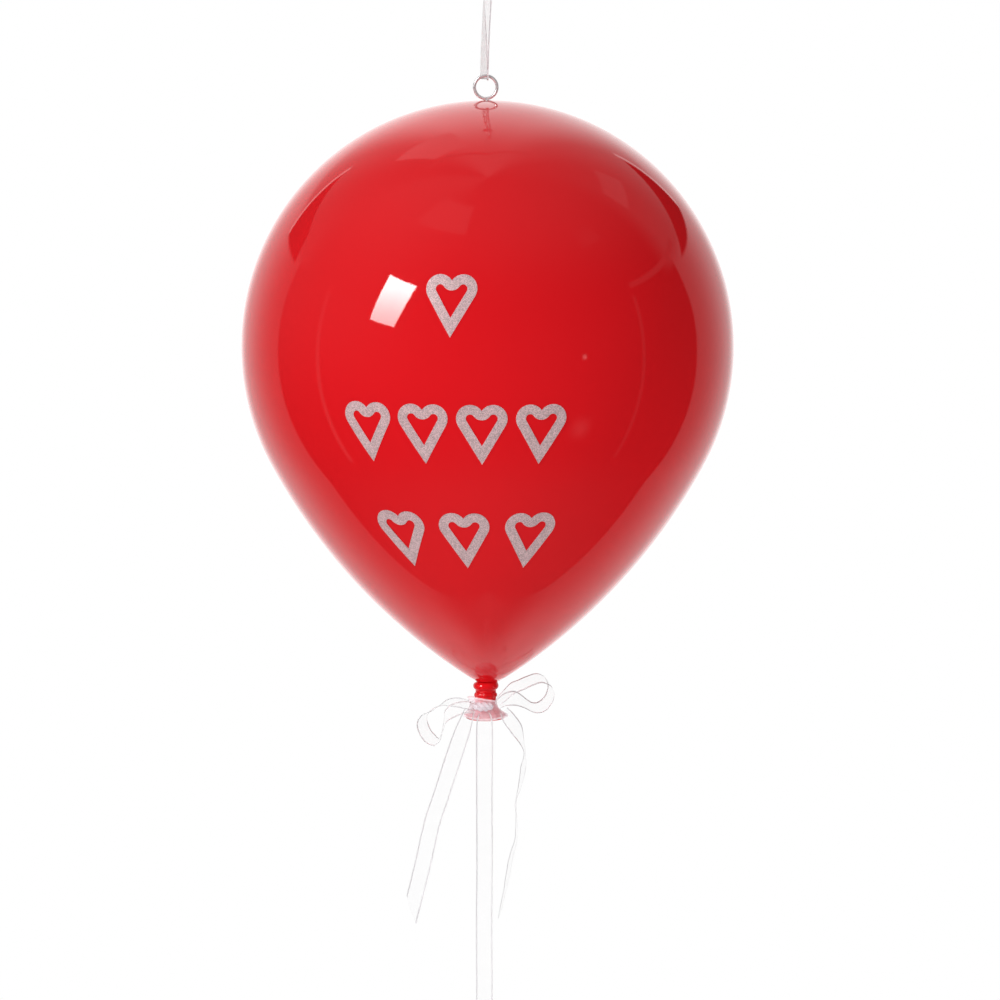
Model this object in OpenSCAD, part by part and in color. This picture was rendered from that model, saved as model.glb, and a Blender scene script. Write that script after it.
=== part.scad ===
// Hanging display balloon: a rigid hollow teardrop body on a screw eye, with a moulded neck,
// glitter stickers and a sheer ribbon bow. Millimetres, +Z up, the front faces -Y.
// The origin is the inside of the ribbon loop, where a hook carries the whole object.

/* [Balloon body] */
// Largest diameter of the balloon body
body_d = 200; // [190:1:210]
// Distance from the hook down to the crown
hang_drop = 75; // [74:0.5:80]
// Wall thickness of the hollow body
wall = 1.5; // [1.2:0.1:2]
// Angle below the equator at which the ball shape turns into the long lower curve
join_angle = 28; // [24:1:32]
// Radius of the lower curve as a multiple of the body's radius
lower_curve = 2.42; // [2.3:0.01:2.5]
// Depth from the equator to the flat at the neck, as a multiple of the body's radius
neck_depth = 1.37; // [1.36:0.01:1.38]

/* [Screw eye] */
// Outside diameter of the metal ring
eye_d = 10.1; // [9.6:0.1:12]
// Wire diameter of the ring
wire_d = 1.3; // [1.1:0.1:1.5]
// Diameter of the threaded shank
shank_d = 3; // [2.8:0.1:3.2]
// Length of the shank below the crown
shank_len = 8.5; // [8:0.5:10]

/* [Neck] */
// Diameter of the round bead under the body
bead_d = 10.5; // [10:0.1:11]
// Diameter of the plain neck under the bead
neck_d = 8.9; // [8.6:0.1:9.2]
// Diameter of the rolled lip
lip_d = 16.7; // [16:0.1:17]
// Diameter of the spigot inside the body's mouth
spigot_d = 5.9; // [5:0.1:6.2]

/* [Stickers] */
// Width of one heart sticker
heart_w = 20; // [18:0.5:21]
// Height of one heart sticker
heart_h = 24; // [22:0.5:25]
// Width of the heart's outline
heart_line = 3.8; // [3:0.1:4.2]
// Thickness of the glitter film
film = 0.2; // [0.1:0.05:0.3]

/* [Ribbon] */
// Width of the sheer ribbon
ribbon_w = 6.8; // [6:0.1:7]
// Width of the hanging ribbon where it is folded in half through the eye
fold_w = 3.2; // [2.8:0.1:3.6]
// Width of the folded ribbon where it opens towards the knot
open_w = 4.5; // [4:0.1:5]
// Thickness of every ribbon
ribbon_t = 0.3; // [0.2:0.05:0.3]

/* [Hidden] */
$fn = 96;

red = [0.82, 0.06, 0.07];
glitter = [0.80, 0.76, 0.77];
sheer = [0.93, 0.90, 0.92, 0.6];

// Body: heights of the crown, the equator and the flat at the neck
body_r = body_d / 2;
crown_z = -hang_drop;
centre_z = crown_z - body_r;
neck_z = centre_z - neck_depth * body_r;
lower_r = lower_curve * body_r;
lower_x = (body_r - lower_r) * cos(join_angle);
lower_z = (lower_r - body_r) * sin(join_angle);

// Inside the crown: a moulded boss, a washer and a nut
boss_r = 6;
boss_depth = 4;
washer_r = 5;
washer_t = 0.8;
nut_flats = 5.5;
nut_t = 2.4;
thread_gap = 0.02;

// Inside the mouth: the socket that the spigot is glued into
socket_r = 5.2;
socket_len = 10;
spigot_len = 9.5;
glue_gap = 0.05;

// Screw eye: the ring stands just clear of the crown on a short stem
stem_len = 0.35;
ring_z = crown_z + stem_len + eye_d / 2;
ring_r = (eye_d - wire_d) / 2;
pivot_z = ring_z + ring_r;

// Neck, as depths below the flat
bead_r = 1.9;
bead_depth = 2.2;
plain_top = 4.2;
flare_top = 10.2;
flare_end = 13.7;
rim_r = 1.2;
rim_depth = 14.6;
recess_depth = 12.6;
recess_r = 3;

// Ribbon turned round the neck, and the two knots
wrap_top = 7.2;
wrap_h = 3;
wrap_t = 0.95;
bow_knot_at = [-0.6, -7.9, neck_z - 9.6];
bow_knot_r = 2.1;
bow_knot_len = 4;
hanger_knot_z = -25;
hanger_knot_r = 2.4;
hanger_knot_len = 2.4;

// Sticker rows: [height above the equator, first turn about Z, turn to the next, count]
heart_rows = [[25.5, -8.3, 0, 1], [-24.5, -28.3, 13.55, 4], [-69, -25.5, 18.9, 3]];
hearts = [for (row = heart_rows) for (i = [0 : row[3] - 1]) [row[1] + i * row[2], row[0]]];

// Ribbon routes, chosen by hand. Each point is [x, y, z]; the bow's z is counted from neck_z.
loop_route = [
    [0, -0.9, -22], [0, -2.6, -19], [0, -4.6, -14.5], [0, -5.3, -9], [0, -4.6, -4],
    [0, -2.6, -0.8], [0, 0, 0.2],
    [0, 2.6, -0.8], [0, 4.6, -4], [0, 5.3, -9], [0, 4.6, -14.5], [0, 2.6, -19], [0, 0.9, -22]
];
// The strap's z is counted from the centre of the ring's top wire
strap_leg = [[0.9, 37.4], [1.3, 28], [1.45, 18], [1.45, 9], [1.45, 0], [1, -1.05]];
left_loop_route = [
    [-5, -6.8, -9.4], [-9, -4.4, -9.2], [-12.4, -2.6, -8.9], [-16, -2, -9.2], [-19.2, -2, -10.1],
    [-22.5, -2.4, -11.9], [-25.4, -3, -14.2], [-26.6, -3.8, -17.5], [-25.3, -4.6, -21], [-23.3, -5.2, -23.3],
    [-21, -5.6, -24.4], [-19.5, -5.8, -23], [-18.6, -5.8, -19.8], [-17.8, -5.8, -16.4], [-16.4, -5.8, -13.4],
    [-14, -5.8, -11.5], [-11, -5.8, -10.4], [-8, -6.3, -10.1], [-5, -6.8, -10.3]
];
right_loop_route = [
    [4, -7.6, -8.2], [6.1, -7.2, -5.8], [10.2, -7.1, -2], [13.5, -6.3, -0.7], [17.2, -5.3, 0.8],
    [20.8, -4, 1.7], [24.3, -1.5, 0.1], [25.8, 0.8, -2.8], [26, 2.6, -5.8], [24.8, 3.7, -8.9],
    [22.6, 4, -11.4], [19.9, 3.1, -12.1], [17.2, 1.3, -11], [14.3, -1.5, -8.6],
    [11.2, -4, -6.9], [8.2, -5.8, -6.9], [5.6, -6.9, -8], [4, -7.4, -9.6]
];
left_tail_route = [
    [-7.4, -9.8, -10.6], [-10.2, -9.8, -19], [-13.4, -9.8, -28.5], [-16.5, -9.8, -38],
    [-19.7, -9.8, -48], [-22.9, -9.8, -58], [-27.1, -9.8, -76.7], [-31.6, -9.8, -94.7]
];
right_tail_route = [
    [6.6, -9.3, -10.8], [8.6, -9.1, -14.1], [11.8, -9, -18.7], [14.1, -9, -24], [15.2, -9, -28.5],
    [14.6, -9, -35], [13.4, -9, -42], [11.9, -9, -47.5], [11.5, -9, -52], [12, -9, -58.5],
    [11.6, -9, -65], [9.6, -9, -72.3], [8, -9, -81.5], [5, -9, -95.7]
];
string_route = [
    [-1.4, -9, -12.1], [-1.3, -9, -18], [-1.4, -9, -48], [-1.3, -9, -75], [-1.5, -9, -100],
    [-1.4, -9, -130], [-1.6, -9, -160], [-1.5, -9, -202]
];

// Number of corners round a ribbon's section, and of steps along an arc of a heart
sides = 8;
arc_steps = 12;

// Directions in which each ribbon's width lies
across = [1, 0, 0];
edge_on = [0.12, 1, 0];
left_lean = [0, 1, 0];
right_lean = [0.39, -0.81, -0.45];

function unit(v) = v / norm(v);
function mirrored(line) = [for (i = [len(line) - 1 : -1 : 0]) [-line[i][0], line[i][1]]];
// Points along an arc, without its last one
function arc(centre, r, from, to) = [
    for (k = [0 : arc_steps - 1])
        let (a = from + (to - from) * k / arc_steps) centre + r * [cos(a), sin(a)]
];
function raised(route, z) = [for (p = route) p + [0, 0, z]];
function tangent(route, i) =
    unit(route[min(i + 1, len(route) - 1)] - route[max(i - 1, 0)]);

// Corners of a flat ribbon's section, a thin oval: [across the width, through the thickness]
function ribbon_section(w, t) = [
    for (k = [0 : sides - 1]) [w / 2 * cos(k * 360 / sides), t / 2 * sin(k * 360 / sides)]
];

function ribbon_ring(route, i, lean, w, t) =
    let (
        along = tangent(route, i),
        side = unit(lean - (lean * along) * along),
        up = cross(along, side)
    )
    [for (c = ribbon_section(w, t)) route[i] + c[0] * side + c[1] * up];

// A ribbon swept along a route; its width runs from w_end at both ends to w_mid
module ribbon(route, lean, w_end, w_mid) {
    n = len(route);
    widths = [for (i = [0 : n - 1]) let (s = abs(2 * i / (n - 1) - 1)) w_mid + (w_end - w_mid) * s * s];
    points = [for (i = [0 : n - 1]) each ribbon_ring(route, i, lean, widths[i], ribbon_t)];
    skin = [
        for (i = [0 : n - 2]) for (k = [0 : sides - 1])
            let (a = i * sides + k, b = i * sides + (k + 1) % sides)
            each [[a, b, b + sides], [a, b + sides, a + sides]]
    ];
    start_cap = [for (k = [sides - 1 : -1 : 0]) k];
    end_cap = [for (k = [0 : sides - 1]) (n - 1) * sides + k];
    polyhedron(points, concat(skin, [start_cap, end_cap]), convexity = 6);
}

// Half section of the body, with its surface moved out by grow
module body_section(grow) {
    join_z = -(body_r + grow) * sin(join_angle);
    base_z = -neck_depth * body_r - min(grow, 0);
    intersection() {
        circle(body_r + grow);
        translate([0, join_z]) square([body_d, body_d]);
    }
    intersection() {
        translate([lower_x, lower_z]) circle(lower_r + grow);
        translate([0, base_z]) square([body_d, join_z - base_z]);
    }
}

module body_solid(grow) {
    translate([0, 0, centre_z]) rotate_extrude() body_section(grow);
}

module balloon_shell() color(red) difference() {
    body_solid(0);
    difference() {
        body_solid(-wall);
        translate([0, 0, crown_z - boss_depth]) cylinder(r = boss_r, h = boss_depth);
        translate([0, 0, neck_z]) cylinder(r = socket_r, h = socket_len);
    }
    translate([0, 0, crown_z - 2 * boss_depth]) cylinder(d = shank_d + 0.2, h = 3 * boss_depth);
    translate([0, 0, neck_z - 1]) cylinder(d = spigot_d + 2 * glue_gap, h = socket_len + 2);
}

module neck_stopper() color(red) translate([0, 0, neck_z]) {
    bead_x = bead_d / 2 - bead_r;
    rim_x = lip_d / 2 - rim_r;
    cylinder(d = spigot_d, h = spigot_len);
    rotate_extrude() {
        translate([0, -plain_top - 0.2]) square([neck_d / 2 - 0.35, plain_top + 0.2]);
        translate([0, -bead_depth - bead_r]) square([bead_x, 2 * bead_r]);
        translate([bead_x, -bead_depth]) circle(bead_r);
        translate([0, -flare_top]) square([neck_d / 2, flare_top - plain_top]);
        polygon([
            [0, -flare_top], [neck_d / 2, -flare_top], [rim_x + 0.75, -flare_end],
            [rim_x, -rim_depth - rim_r], [rim_x - 1, -rim_depth - rim_r],
            [recess_r, -recess_depth], [0, -recess_depth]
        ]);
        translate([rim_x, -rim_depth]) circle(rim_r);
    }
}

module screw_eye() color("silver") {
    translate([0, 0, ring_z]) rotate([90, 0, 0]) rotate_extrude() translate([ring_r, 0]) circle(d = wire_d);
    translate([0, 0, crown_z - 1]) cylinder(d = wire_d, h = 1 + stem_len + wire_d / 2);
    translate([0, 0, crown_z - shank_len]) cylinder(d = shank_d, h = shank_len - 0.1);
}

module crown_washer() color("lightgrey") difference() {
    translate([0, 0, crown_z - boss_depth - washer_t]) cylinder(r = washer_r, h = washer_t);
    translate([0, 0, crown_z - 2 * boss_depth]) cylinder(d = shank_d + 0.2, h = 2 * boss_depth);
}

module crown_nut() color("lightgrey") difference() {
    translate([0, 0, crown_z - boss_depth - washer_t - nut_t])
        cylinder(d = nut_flats / cos(30), h = nut_t, $fn = 6);
    translate([0, 0, crown_z - 3 * boss_depth]) cylinder(d = shank_d + 2 * thread_gap, h = 3 * boss_depth);
}

module heart_outline() {
    lobe_r = 0.275 * heart_w;
    lobe_x = heart_w / 2 - lobe_r;
    inner_r = lobe_r - heart_line;
    tip_z = lobe_r - heart_h;
    cleft_z = sqrt(lobe_r * lobe_r - lobe_x * lobe_x);
    cleft_turn = 180 - acos(lobe_x / lobe_r);
    side_turn = atan(lobe_x / -tip_z) + asin(lobe_r / norm([lobe_x, tip_z]));
    outer = arc([lobe_x, 0], lobe_r, -side_turn, cleft_turn);
    inner = arc([lobe_x, 0], inner_r, -side_turn, cleft_turn);
    dip = arc([0, cleft_z], heart_line, cleft_turn - 180, -cleft_turn);
    inner_tip = [0, tip_z + heart_line / sin(side_turn)];
    translate([0, heart_h / 2 - lobe_r]) difference() {
        polygon(concat(outer, [[0, cleft_z]], mirrored(outer), [[0, tip_z]]));
        polygon(concat(inner, dip, mirrored(inner), [inner_tip]));
    }
}

module heart_decal(i) color(glitter) difference() {
    intersection() {
        rotate([0, 0, hearts[i][0]]) translate([0, 0, centre_z + hearts[i][1]])
            rotate([90, 0, 0]) linear_extrude(body_d) heart_outline();
        body_solid(glue_gap + film);
    }
    body_solid(glue_gap);
}

// A knot: a short round bar along X with ball ends
module knot(at, r, length) {
    translate(at) {
        rotate([0, 90, 0]) cylinder(r = r, h = length, center = true);
        for (s = [-1, 1]) translate([s * length / 2, 0, 0]) sphere(r);
    }
}

module hanger_loop() color(sheer) ribbon(loop_route, across, open_w, open_w);

module hanger_knot() color(sheer)
    knot([0, 0, hanger_knot_z], hanger_knot_r, hanger_knot_len);

module hanger_ribbon() color(sheer) {
    flat_route = concat(strap_leg, [[0, -1.45]], mirrored(strap_leg));
    route = [for (p = flat_route) [0, -p[0], pivot_z + p[1]]];
    ribbon(route, across, open_w, fold_w);
}

module neck_wrap() color(sheer) translate([0, 0, neck_z - wrap_top - wrap_h]) difference() {
    cylinder(r = neck_d / 2 + glue_gap + wrap_t, h = wrap_h);
    translate([0, 0, -1]) cylinder(r = neck_d / 2 + glue_gap, h = wrap_h + 2);
}

module bow_knot() color(sheer) knot(bow_knot_at, bow_knot_r, bow_knot_len);

module bow_loop_left() color(sheer)
    ribbon(raised(left_loop_route, neck_z), left_lean, 0.5 * ribbon_w, ribbon_w);

module bow_loop_right() color(sheer)
    ribbon(raised(right_loop_route, neck_z), right_lean, 0.5 * ribbon_w, ribbon_w);

module bow_tail_left() color(sheer)
    ribbon(raised(left_tail_route, neck_z), across, 0.8 * ribbon_w, ribbon_w);

module bow_tail_right() color(sheer)
    ribbon(raised(right_tail_route, neck_z), edge_on, 0.8 * ribbon_w, ribbon_w);

module string_ribbon() color(sheer)
    ribbon(raised(string_route, neck_z), across, ribbon_w, ribbon_w);

balloon_shell();
neck_stopper();
screw_eye();
crown_washer();
crown_nut();
heart_decal(0);  // heart_decal_1
heart_decal(1);  // heart_decal_2
heart_decal(2);  // heart_decal_3
heart_decal(3);  // heart_decal_4
heart_decal(4);  // heart_decal_5
heart_decal(5);  // heart_decal_6
heart_decal(6);  // heart_decal_7
heart_decal(7);  // heart_decal_8
hanger_loop();
hanger_knot();
hanger_ribbon();
neck_wrap();
bow_knot();
bow_loop_left();
bow_loop_right();
bow_tail_left();
bow_tail_right();
string_ribbon();
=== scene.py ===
"""Looks of a hanging display balloon: glossy shell, neck, screw eye, glitter hearts and sheer ribbons.

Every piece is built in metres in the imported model's own frame, with +Z up and the front facing -Y.
"""

import logging
import math
from collections.abc import Callable, Sequence
from dataclasses import dataclass, field
from enum import Enum
from typing import Any

import bmesh
import bpy
from bpy.types import Material, NodeSocket, NodeTree, Object
from mathutils import Matrix, Vector


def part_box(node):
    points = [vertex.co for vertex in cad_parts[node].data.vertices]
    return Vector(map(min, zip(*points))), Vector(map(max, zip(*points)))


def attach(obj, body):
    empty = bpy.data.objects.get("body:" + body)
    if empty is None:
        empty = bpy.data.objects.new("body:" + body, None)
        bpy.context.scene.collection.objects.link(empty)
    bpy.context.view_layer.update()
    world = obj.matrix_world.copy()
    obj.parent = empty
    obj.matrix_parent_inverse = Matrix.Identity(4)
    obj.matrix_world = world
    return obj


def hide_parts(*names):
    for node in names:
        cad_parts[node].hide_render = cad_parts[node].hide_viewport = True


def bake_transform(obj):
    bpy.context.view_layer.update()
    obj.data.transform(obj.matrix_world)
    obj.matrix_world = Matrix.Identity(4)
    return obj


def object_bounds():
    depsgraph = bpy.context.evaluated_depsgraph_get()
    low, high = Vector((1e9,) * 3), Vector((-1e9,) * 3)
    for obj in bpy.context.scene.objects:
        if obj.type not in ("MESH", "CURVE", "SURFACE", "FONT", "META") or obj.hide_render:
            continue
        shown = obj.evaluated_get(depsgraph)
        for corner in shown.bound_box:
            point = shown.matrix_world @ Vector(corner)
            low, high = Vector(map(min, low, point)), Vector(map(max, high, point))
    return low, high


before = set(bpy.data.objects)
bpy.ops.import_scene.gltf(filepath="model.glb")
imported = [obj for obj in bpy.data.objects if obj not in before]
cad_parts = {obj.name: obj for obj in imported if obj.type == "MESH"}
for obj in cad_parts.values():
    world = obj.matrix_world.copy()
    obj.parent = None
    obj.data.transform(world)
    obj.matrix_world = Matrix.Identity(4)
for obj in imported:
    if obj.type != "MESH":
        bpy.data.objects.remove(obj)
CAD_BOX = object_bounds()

MM = 0.001
MERGE = 0.001 * MM
RIBBON_WIDTH = 6.8
log = logging.getLogger("balloon")

Point = tuple[float, float]
Row = tuple[float, ...]
Colour = tuple[float, float, float, float]


# ---------------------------------------------------------------- shader writing


class Signal:
    """A node's output socket; arithmetic on it adds Math nodes."""

    def __init__(self, sheet: "NodeSheet", socket: NodeSocket | None) -> None:
        """Keep the socket and the sheet that it belongs to."""
        self.sheet = sheet
        self.socket = socket

    def _math(self, operation: str, *terms: Any) -> "Signal":
        """Add one Math node that works on the terms."""
        return self.sheet.add("Math", {"operation": operation}, dict(enumerate(terms)))

    def __add__(self, other: Any) -> "Signal":
        """Sum."""
        return self._math("ADD", self, other)

    def __sub__(self, other: Any) -> "Signal":
        """Difference."""
        return self._math("SUBTRACT", self, other)

    def __rsub__(self, other: Any) -> "Signal":
        """Difference with this signal taken away."""
        return self._math("SUBTRACT", other, self)

    def __mul__(self, other: Any) -> "Signal":
        """Product."""
        return self._math("MULTIPLY", self, other)

    def __abs__(self) -> "Signal":
        """Size without sign."""
        return self._math("ABSOLUTE", self)

    __radd__ = __add__
    __rmul__ = __mul__

    def apply(self, operation: str, *others: Any) -> "Signal":
        """Any other Math operation with this signal first."""
        return self._math(operation, self, *others)

    def rise(self, low: float, high: float) -> "Signal":
        """Ease from 0 at low to 1 at high; high may lie below low."""
        settings = {"interpolation_type": "SMOOTHSTEP"}
        return self.sheet.add("MapRange", settings, {0: self, 1: low, 2: high})


class NodeSheet:
    """A node tree that is written node by node."""

    def __init__(self, tree: NodeTree) -> None:
        """Start with an empty tree."""
        self.tree = tree
        tree.nodes.clear()

    def add(self, kind: str, settings: dict[str, Any], sockets: dict[Any, Any], output: Any = 0) -> Signal:
        """Add one node.

        Args:
            kind: The node's type without its ShaderNode prefix.
            settings: The node's own properties.
            sockets: Values or signals for the input sockets, by name or number.
            output: Which output the returned signal reads.

        Returns:
            The signal of that output.
        """
        node = self.tree.nodes.new("ShaderNode" + kind)
        for name, value in settings.items():
            setattr(node, name, value)
        for key, value in sockets.items():
            if isinstance(value, Signal):
                self.tree.links.new(value.socket, node.inputs[key])
            else:
                node.inputs[key].default_value = value
        return Signal(self, node.outputs[output] if len(node.outputs) else None)

    def place(self) -> Signal:
        """Object coordinates, in metres."""
        return self.add("TexCoord", {}, {}, "Object")

    def noise(self, where: Signal, scale: float, detail: float = 2.0) -> Signal:
        """Smooth noise from 0 to 1 with scale waves a metre."""
        return self.add("TexNoise", {}, {"Vector": where, "Scale": scale, "Detail": detail})

    def blend(self, amount: Any, first: Any, second: Any) -> Signal:
        """Mix two colours."""
        return self.add("Mix", {"data_type": "RGBA"}, {0: amount, 6: first, 7: second}, 2)

    def bump(self, height: Signal, depth: float) -> Signal:
        """A normal that is bumped by height times depth in metres."""
        return self.add("Bump", {}, {"Strength": 1.0, "Distance": depth, "Height": height})


def colour(red: float, green: float, blue: float) -> Colour:
    """An opaque linear colour."""
    return (red, green, blue, 1.0)


@dataclass(frozen=True)
class Finish:
    """A surface finish that makes its own material."""

    label: str

    def material(self) -> Material:
        """Build the material on a Principled shader.

        Returns:
            The new material.
        """
        made = bpy.data.materials.new(self.label)
        made.use_nodes = True
        sheet = NodeSheet(made.node_tree)
        shader = sheet.add("BsdfPrincipled", {}, self.sockets(sheet))
        sheet.add("OutputMaterial", {}, {"Surface": shader})
        return made

    def sockets(self, sheet: NodeSheet) -> dict[str, Any]:
        """Socket values of the Principled shader."""
        raise NotImplementedError


@dataclass(frozen=True)
class RedLacquer(Finish):
    """High-gloss red paint with a faint orange peel."""

    label: str = "red_lacquer"
    deep: Colour = colour(0.78, 0.0085, 0.013)
    light: Colour = colour(0.84, 0.0105, 0.016)
    peel_share: float = 0.012
    depth: float = 0.22 * MM

    def sockets(self, sheet: NodeSheet) -> dict[str, Any]:
        """Slow shifts of colour, faint gloss changes and two scales of waviness.

        Args:
            sheet: The material's node sheet.

        Returns:
            Socket values of the Principled shader, by name.
        """
        where = sheet.place()
        cloud = sheet.noise(where, 9.0)
        peel = sheet.noise(where, 420.0, 1.0)
        swell = sheet.noise(where, 22.0, 1.0)
        return {
            "Base Color": sheet.blend(cloud, self.deep, self.light),
            "Roughness": 0.018 + 0.022 * sheet.noise(where, 60.0, 4.0),
            "IOR": 1.5,
            "Normal": sheet.bump(swell + self.peel_share * peel, self.depth),
        }


@dataclass(frozen=True)
class GlitterFilm(Finish):
    """Silver glitter flakes set in clear film."""

    label: str = "glitter_film"
    dull: Colour = colour(0.5, 0.32, 0.33)
    bright: Colour = colour(1.0, 0.72, 0.74)
    flakes: float = 3600.0
    depth: float = 0.06 * MM

    def sockets(self, sheet: NodeSheet) -> dict[str, Any]:
        """Each flake has its own brightness, tilt and metal share.

        Args:
            sheet: The material's node sheet.

        Returns:
            Socket values of the Principled shader, by name.
        """
        where = sheet.place()
        flake = sheet.add("TexVoronoi", {}, {"Vector": where, "Scale": self.flakes}, "Color")
        shade = sheet.add("SeparateColor", {}, {0: flake}, 0)
        tilt = sheet.add("SeparateColor", {}, {0: flake}, 1)
        patch = sheet.noise(where, 300.0)
        return {
            "Base Color": sheet.blend(shade.rise(0.0, 1.0) * 0.8 + 0.25 * patch, self.dull, self.bright),
            "Metallic": 0.55 * tilt.rise(0.45, 0.9),
            "Roughness": 0.25 + 0.3 * tilt,
            "Normal": sheet.bump(shade, self.depth),
        }


@dataclass(frozen=True)
class Chrome(Finish):
    """Bright nickel-chrome plate with fine wear."""

    label: str = "chrome_plate"
    dull: Colour = colour(0.86, 0.85, 0.86)
    bright: Colour = colour(0.97, 0.96, 0.97)
    depth: float = 0.004 * MM

    def sockets(self, sheet: NodeSheet) -> dict[str, Any]:
        """Bright and satin, with faint hairlines.

        Args:
            sheet: The material's node sheet.

        Returns:
            Socket values of the Principled shader, by name.
        """
        where = sheet.place()
        wear = sheet.noise(where, 900.0, 4.0)
        return {
            "Base Color": sheet.blend(wear, self.dull, self.bright),
            "Metallic": 0.35 + 0.2 * wear,
            "Roughness": 0.22 + 0.14 * wear.rise(0.45, 0.8),
            "Normal": sheet.bump(wear, self.depth),
        }


@dataclass(frozen=True)
class ZincPlate(Finish):
    """Dull zinc plating on a steel fastener."""

    label: str = "zinc_plate"
    dull: Colour = colour(0.45, 0.46, 0.48)
    bright: Colour = colour(0.68, 0.69, 0.7)
    crystals: float = 700.0
    depth: float = 0.01 * MM

    def sockets(self, sheet: NodeSheet) -> dict[str, Any]:
        """Crystal patches with their own grey and gloss.

        Args:
            sheet: The material's node sheet.

        Returns:
            Socket values of the Principled shader, by name.
        """
        where = sheet.place()
        spangle = sheet.add("TexVoronoi", {}, {"Vector": where, "Scale": self.crystals}, "Color")
        grey = sheet.add("SeparateColor", {}, {0: spangle}, 0)
        return {
            "Base Color": sheet.blend(grey, self.dull, self.bright),
            "Metallic": 1.0,
            "Roughness": 0.28 + 0.16 * grey,
            "Normal": sheet.bump(sheet.noise(where, 1500.0), self.depth),
        }


@dataclass(frozen=True)
class Organza(Finish):
    """Sheer ribbon: an open weave between two dense woven edges, which may be given a painted glow by
    constant emission.

    The pieces carry a "weave" attribute: metres across, metres along, and the place across from -1 to 1.
    """

    label: str = "organza"
    cover: float = 0.04
    edge_cover: float = 0.85
    edge_start: float = 0.85
    unevenness: float = 0.4
    # Strength of a painted glow: constant emission in the tint, standing in for light that shines through the
    # weave.
    painted_glow: float = 0.0
    tint: Colour = colour(0.95, 0.9, 0.93)
    edge_tint: Colour = colour(0.95, 0.93, 0.95)
    edge_blur: float = 0.02
    thread: float = 0.28 * MM
    depth: float = 0.02 * MM

    def sockets(self, sheet: NodeSheet) -> dict[str, Any]:
        """Cover follows the threads and the woven edges; a constant emission in the tint paints a glow.

        Args:
            sheet: The material's node sheet.

        Returns:
            Socket values of the Principled shader, by name.
        """
        weave = sheet.add("Attribute", {"attribute_name": "weave"}, {}, "Vector")
        parts = {axis: sheet.add("SeparateXYZ", {}, {0: weave}, axis) for axis in "XYZ"}
        turns = math.tau / self.thread
        warp = (parts["X"] * turns).apply("SINE")
        weft = (parts["Y"] * turns).apply("SINE")
        edge = abs(parts["Z"]).rise(self.edge_start - self.edge_blur, self.edge_start + self.edge_blur)
        mesh = 0.8 + 0.2 * (warp.rise(-0.2, 0.9) + weft.rise(-0.2, 0.9))
        slack = sheet.noise(sheet.place(), 240.0)
        open_cover = self.cover * mesh * ((1.0 - self.unevenness / 2) + self.unevenness * slack)
        return {
            "Base Color": sheet.blend(edge, self.tint, self.edge_tint),
            "Roughness": 0.42 + 0.12 * slack,
            "Sheen Weight": 0.35,
            "Sheen Roughness": 0.4,
            # Painted glow: the tint is emitted at a constant strength, which brightens the ribbon as light
            # through it would.
            "Emission Color": self.tint,
            "Emission Strength": self.painted_glow,
            "Alpha": open_cover + edge * (self.edge_cover - self.cover),
            "Normal": sheet.bump(warp + weft, self.depth),
        }


# ---------------------------------------------------------------- mesh helpers


def arc(centre: Point, radius: float, start: float, end: float, steps: int) -> list[Point]:
    """Points along a round stretch of an outline.

    Args:
        centre: Centre as (distance from the axis, height).
        radius: Radius of the stretch.
        start: First angle in degrees, counted from the outward direction towards up.
        end: Last angle in degrees.
        steps: Number of steps between them.

    Returns:
        The points, both ends included.
    """
    turns = [math.radians(start + (end - start) * k / steps) for k in range(steps + 1)]
    return [(centre[0] + radius * math.cos(t), centre[1] + radius * math.sin(t)) for t in turns]


def turned(outline: Sequence[Point], steps: int, closed: bool = True) -> bmesh.types.BMesh:
    """Turn an outline about the Z axis.

    Args:
        outline: Points as (distance from the axis, height).
        steps: Number of steps round the axis.
        closed: Whether the outline joins its own start; if not, it starts and ends on the axis.

    Returns:
        The closed solid.
    """
    solid = bmesh.new()
    corners = [solid.verts.new((radius, 0.0, height)) for radius, height in outline]
    ends = corners[1:] + corners[:1] if closed else corners[1:]
    edges = [solid.edges.new(pair) for pair in zip(corners, ends)]
    bmesh.ops.spin(
        solid, geom=corners + edges, cent=(0, 0, 0), axis=(0, 0, 1), dvec=(0, 0, 0),
        angle=math.tau, steps=steps, use_merge=True,
    )
    bmesh.ops.remove_doubles(solid, verts=solid.verts[:], dist=MERGE)
    bmesh.ops.recalc_face_normals(solid, faces=solid.faces[:])
    return solid


def show(
    solid: bmesh.types.BMesh, name: str, material: Material, body: str | None,
    replaces: Sequence[str] = (), crease: float = 40.0,
) -> Object:
    """Make a finished shape a piece of the object.

    Args:
        solid: The shape, in place.
        name: The piece's name.
        material: Its finish.
        body: The CAD body that it rides on, or None to leave it on no body.
        replaces: CAD nodes that it stands for.
        crease: Angle in degrees above which an edge stays sharp.

    Returns:
        The new object.
    """
    mesh = bpy.data.meshes.new(name)
    solid.to_mesh(mesh)
    solid.free()
    mesh.shade_smooth()
    mesh.set_sharp_from_angle(angle=math.radians(crease))
    mesh.materials.append(material)
    piece = bpy.data.objects.new(name, mesh)
    bpy.context.scene.collection.objects.link(piece)
    if body:
        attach(piece, body)
    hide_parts(*replaces)
    log.info("%s: %d faces", name, len(mesh.polygons))
    return piece


def dress(node: str, material: Material) -> None:
    """Give a CAD node that stays in view a finish.

    Args:
        node: The node's name.
        material: Its finish.
    """
    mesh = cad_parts[node].data
    mesh.materials.clear()
    mesh.materials.append(material)
    log.info("%s: dressed in %s", node, material.name)


# ---------------------------------------------------------------- the rigid pieces


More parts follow.
